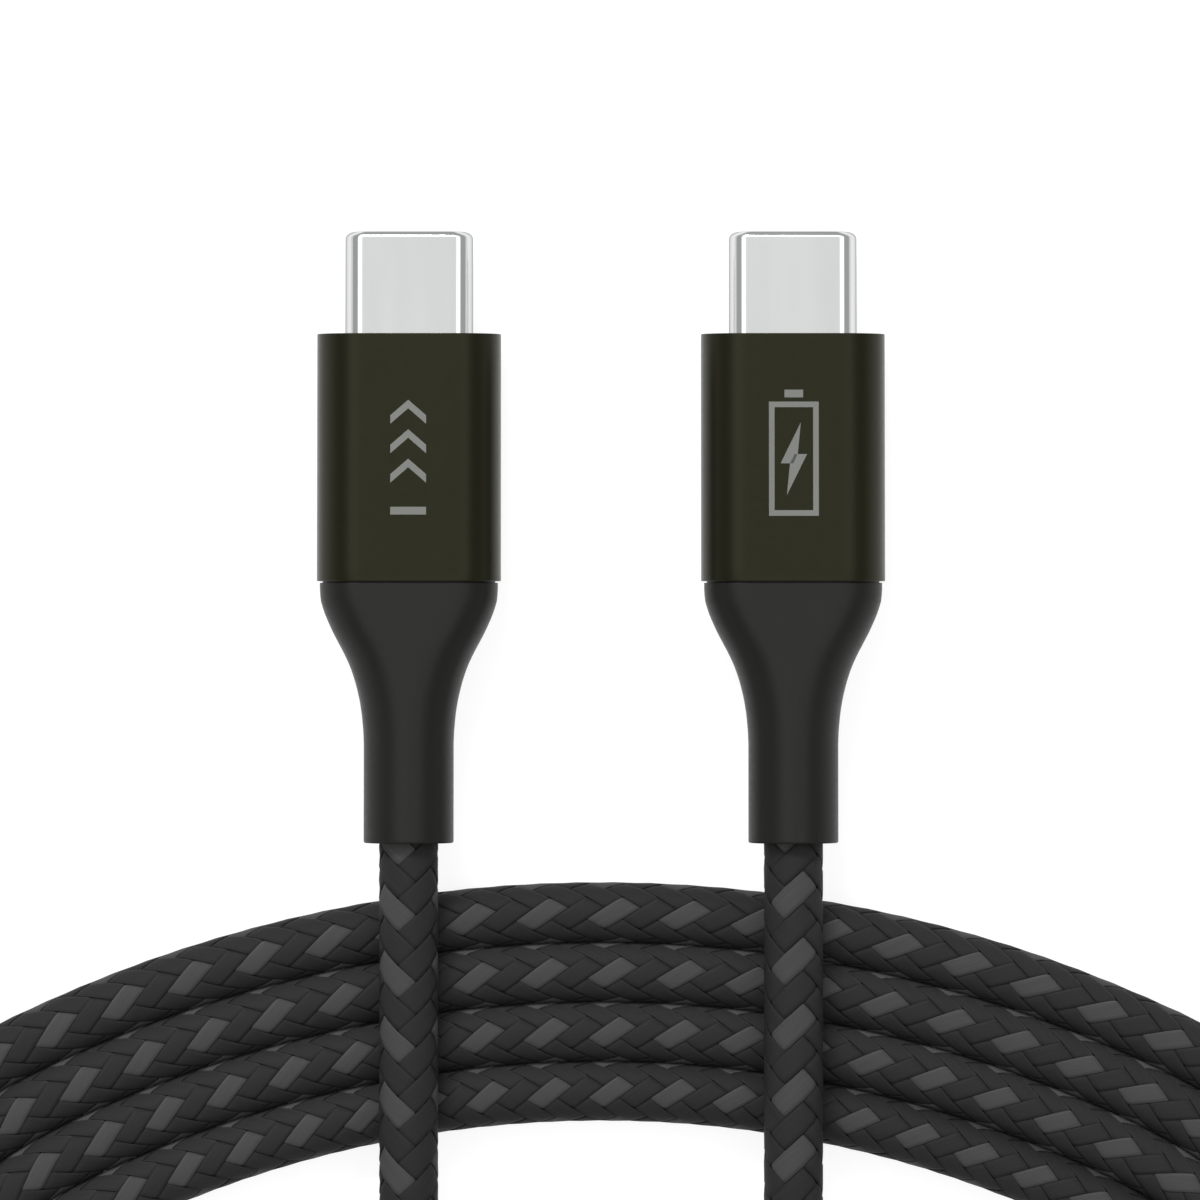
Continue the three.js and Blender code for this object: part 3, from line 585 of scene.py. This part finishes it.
# ---------------------------------------------------------------- generic marks printed on the housings
def print_mark(name, side, polys):
    """Flat polygons (x, y in the plug's frame), each convex and counterclockwise, printed on the housing's upper face."""
    V, F, base = [], {}, 0
    top, low = HOUSE_T / 2 + 0.012, HOUSE_T / 2 - 0.03
    for p in polys:
        n = len(p)
        for z in (top, low):
            V += [(x, y, z) for x, y in p]
        F.setdefault(n, []).append([base + i for i in range(n)])
        F.setdefault(n, []).append([base + n + i for i in reversed(range(n))])
        for i in range(n):
            j = (i + 1) % n
            F.setdefault(4, []).append([base + i, base + n + i, base + n + j, base + j])
        base += 2 * n
    ob = new_mesh(name, plug_to_world(np.array(V), side), [np.array(f) for f in F.values()], smooth=False, material=MAT["print"])
    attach(ob, f"{side}_plug")
    return ob

def rot_rect(cx, cy, w, l, deg=0.0):
    a = math.radians(deg); c, s_ = math.cos(a), math.sin(a)
    return [(cx + x * c - y * s_, cy + x * s_ + y * c) for x, y in ((-w / 2, -l / 2), (w / 2, -l / 2), (w / 2, l / 2), (-w / 2, l / 2))]

def chevron(cy, w=2.3, rise=1.0, t=0.55):
    return [[(-w / 2, cy - rise), (0, cy - t * 0.0), (0, cy + t), (-w / 2, cy - rise + t)][::1], [(0, cy), (w / 2, cy - rise), (w / 2, cy - rise + t), (0, cy + t)]]

marks = []
for cy in (-5.0, -6.9, -8.8): marks += chevron(cy)
marks += [rot_rect(0, -11.6, 2.3, 0.5)]
print_mark("left_mark", "left", marks)
batt = [rot_rect(0, -4.05, 1.2, 0.5), rot_rect(0, -4.75, 3.2, 0.36), rot_rect(0, -11.75, 3.2, 0.36), rot_rect(-1.42, -8.25, 0.36, 6.64), rot_rect(1.42, -8.25, 0.36, 6.64)]
bolt = [[(0.42, -5.9), (-0.8, -8.6), (0.0, -8.6)][::1], [(0.42, -5.9), (0.0, -8.6), (0.3, -7.9)], [(-0.42, -10.6), (0.8, -7.9), (0.0, -7.9)], [(-0.8, -8.6), (-0.02, -8.6), (0.02, -7.9), (0.8, -7.9)]]
def ccw(p):
    a = sum(p[i][0] * p[(i + 1) % len(p)][1] - p[(i + 1) % len(p)][0] * p[i][1] for i in range(len(p)))
    return p if a > 0 else p[::-1]
bolt = [[(0.45, -5.9), (-0.85, -8.55), (-0.05, -8.55), (0.25, -7.95)], [(-0.45, -10.6), (0.85, -7.95), (0.05, -7.95), (-0.25, -8.55)]]
print_mark("right_mark", "right", [ccw(p) for p in batt + bolt])

# ---------------------------------------------------------------- floor and light
RING_LEAN, WORLD_GAIN = 9.3, 2.0
SKY = [(0, 12, 0.46), (13.5, 35, 0.84), (38, 71, 0.22), (75, 90, 0.46)]
floor_me = bpy.data.meshes.new("floor")
floor_me.from_pydata([(-20, -20, 0), (20, -20, 0), (20, 20, 0), (-20, 20, 0)], [], [(0, 1, 2, 3)])
floor = bpy.data.objects.new("floor", floor_me)
scene.collection.objects.link(floor)
fm, fnt, fb = material("floor_white")
fb.inputs["Base Color"].default_value = (0.26, 0.26, 0.26, 1)
fb.inputs["Roughness"].default_value = 0.9
fb.inputs["Specular IOR Level"].default_value = 0.1
fb.inputs["Emission Color"].default_value = (1, 1, 1, 1)
fb.inputs["Emission Strength"].default_value = 0.84
floor_me.materials.append(fm)

# an overhead ring of soft light round a slightly dimmer middle, dim walls and a pale horizon; its axis leans a little to +Y
world = bpy.data.worlds.new("studio")
scene.world = world
world.use_nodes = True
wnt = world.node_tree
wtc = wnt.nodes.new("ShaderNodeTexCoord")
wmp = wnt.nodes.new("ShaderNodeMapping")
wmp.vector_type = "POINT"
wmp.inputs["Rotation"].default_value = (math.radians(RING_LEAN), 0, 0)
wsep = wnt.nodes.new("ShaderNodeSeparateXYZ")
wr = wnt.nodes.new("ShaderNodeValToRGB")
wnt.links.new(wtc.outputs["Generated"], wmp.inputs["Vector"])
wnt.links.new(wmp.outputs[0], wsep.inputs[0])
wnt.links.new(wsep.outputs["Z"], wr.inputs[0])
wnt.links.new(wr.outputs[0], wnt.nodes["Background"].inputs[0])
wnt.nodes["Background"].inputs[1].default_value = WORLD_GAIN
stops = []
for lo, hi, level in SKY:          # angles from the middle of the ring, in degrees
    stops += [(math.cos(math.radians(hi)), level), (math.cos(math.radians(lo)), level)]
stops = sorted(stops)
for i in range(1, len(stops)):
    if stops[i][0] <= stops[i - 1][0]:
        stops[i] = (stops[i - 1][0] + 0.004, stops[i][1])
el = wr.color_ramp.elements
while len(el) < len(stops): el.new(0.5)
for e, (p_, v_) in zip(el, stops):
    e.position = min(1.0, max(0.0, p_))
    e.color = (v_, v_, v_, 1)

def area(name, loc, target, size, power, size_y=None):
    l = bpy.data.lights.new(name, "AREA")
    l.energy, l.size = power, size
    if size_y: l.shape, l.size_y = "RECTANGLE", size_y
    o_ = bpy.data.objects.new(name, l)
    scene.collection.objects.link(o_)
    o_.location = loc
    o_.rotation_euler = (Vector(target) - Vector(loc)).to_track_quat("-Z", "Y").to_euler()
    return o_
area("key", (-0.14, 0.43, 0.50), (0, -0.02, 0), 0.26, 2.3, 0.12)
scene.view_settings.view_transform = "Standard"
scene.view_settings.look = "None"
